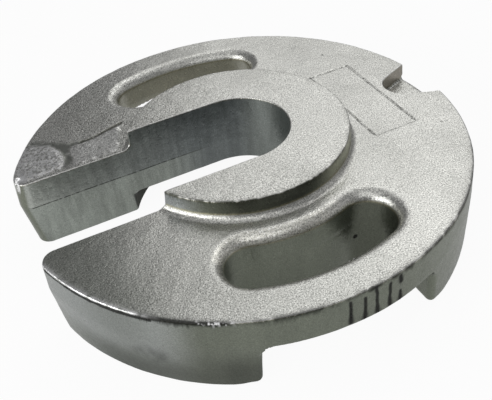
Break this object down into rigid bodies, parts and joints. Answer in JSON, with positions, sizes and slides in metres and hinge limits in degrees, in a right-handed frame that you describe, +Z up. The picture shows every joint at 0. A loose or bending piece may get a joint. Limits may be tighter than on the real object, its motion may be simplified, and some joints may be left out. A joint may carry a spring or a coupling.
{
  "type": "slotted disc weight",
  "caption": "Zinc plated cast disc weight with a slot for an upright tube, a raised stacking ring, through grips and a rim notch.",
  "frame": {"origin": "on the surface the weight stands on, under the middle of its box", "axes": "+Z up out of the disc's top, the slot's mouth towards -X, the grips at +Y and -Y"},
  "size_m": [0.2462, 0.2516, 0.0567],
  "materials": {
    "zinc_plate": "as-cast iron, zinc plated, pale grey with a fine sparkling grain"
  },
  "bodies": {
    "root": {"weight_casting": "zinc_plate"}
  },
  "joints": []
}
